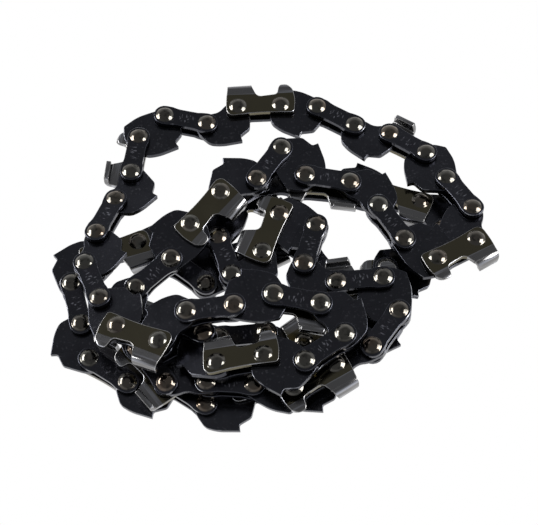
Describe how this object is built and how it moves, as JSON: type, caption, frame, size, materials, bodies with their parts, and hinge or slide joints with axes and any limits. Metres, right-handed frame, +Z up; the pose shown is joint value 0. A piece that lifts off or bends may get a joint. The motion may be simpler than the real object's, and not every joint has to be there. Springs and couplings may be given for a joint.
{
  "type": "chainsaw chain loop",
  "caption": "Closed loop of low-profile chainsaw chain lying in a loose heap: hooked drive links, tie straps and left and right cutters held by domed rivets.",
  "frame": {"origin": "on the floor under the middle of the heap's bounding box", "axes": "+X to the right along the heap's longest side, +Y away from the viewer, +Z up from the floor the heap lies on"},
  "size_m": [0.1008, 0.0894, 0.0199],
  "materials": {
    "drive_steel": "blackened, oiled",
    "strap_steel": "blackened, oiled",
    "cutter_steel": "thin hard chrome over bronze-tinted steel"
  },
  "bodies": {
    "root": {"right_cutter_01": "cutter_steel", "tie_strap_01": "strap_steel", "left_cutter_01": "cutter_steel", "tie_strap_02": "strap_steel", "right_cutter_02": "cutter_steel", "tie_strap_03": "strap_steel", "left_cutter_02": "cutter_steel", "tie_strap_04": "strap_steel", "right_cutter_03": "cutter_steel", "tie_strap_05": "strap_steel", "left_cutter_03": "cutter_steel", "tie_strap_06": "strap_steel", "right_cutter_04": "cutter_steel", "tie_strap_07": "strap_steel", "left_cutter_04": "cutter_steel", "tie_strap_08": "strap_steel", "right_cutter_05": "cutter_steel", "tie_strap_09": "strap_steel", "left_cutter_05": "cutter_steel", "tie_strap_10": "strap_steel", "right_cutter_06": "cutter_steel", "tie_strap_11": "strap_steel", "left_cutter_06": "cutter_steel", "tie_strap_12": "strap_steel", "right_cutter_07": "cutter_steel", "tie_strap_13": "strap_steel", "left_cutter_07": "cutter_steel", "tie_strap_14": "strap_steel", "right_cutter_08": "cutter_steel", "tie_strap_15": "strap_steel", "left_cutter_08": "cutter_steel", "tie_strap_16": "strap_steel", "tie_strap_17": "strap_steel", "right_cutter_09": "cutter_steel", "tie_strap_18": "strap_steel", "left_cutter_09": "cutter_steel", "tie_strap_19": "strap_steel", "right_cutter_10": "cutter_steel", "tie_strap_20": "strap_steel", "left_cutter_10": "cutter_steel", "tie_strap_21": "strap_steel", "right_cutter_11": "cutter_steel", "tie_strap_22": "strap_steel", "left_cutter_11": "cutter_steel", "tie_strap_23": "strap_steel", "drive_links_01": "drive_steel", "drive_links_02": "drive_steel", "drive_links_03": "drive_steel", "drive_links_04": "drive_steel", "drive_links_05": "drive_steel", "drive_links_06": "drive_steel", "drive_links_07": "drive_steel", "drive_links_08": "drive_steel", "drive_links_09": "drive_steel", "drive_links_10": "drive_steel", "drive_links_11": "drive_steel", "drive_links_12": "drive_steel", "drive_links_13": "drive_steel", "drive_links_14": "drive_steel", "drive_links_15": "drive_steel"}
  },
  "joints": []
}
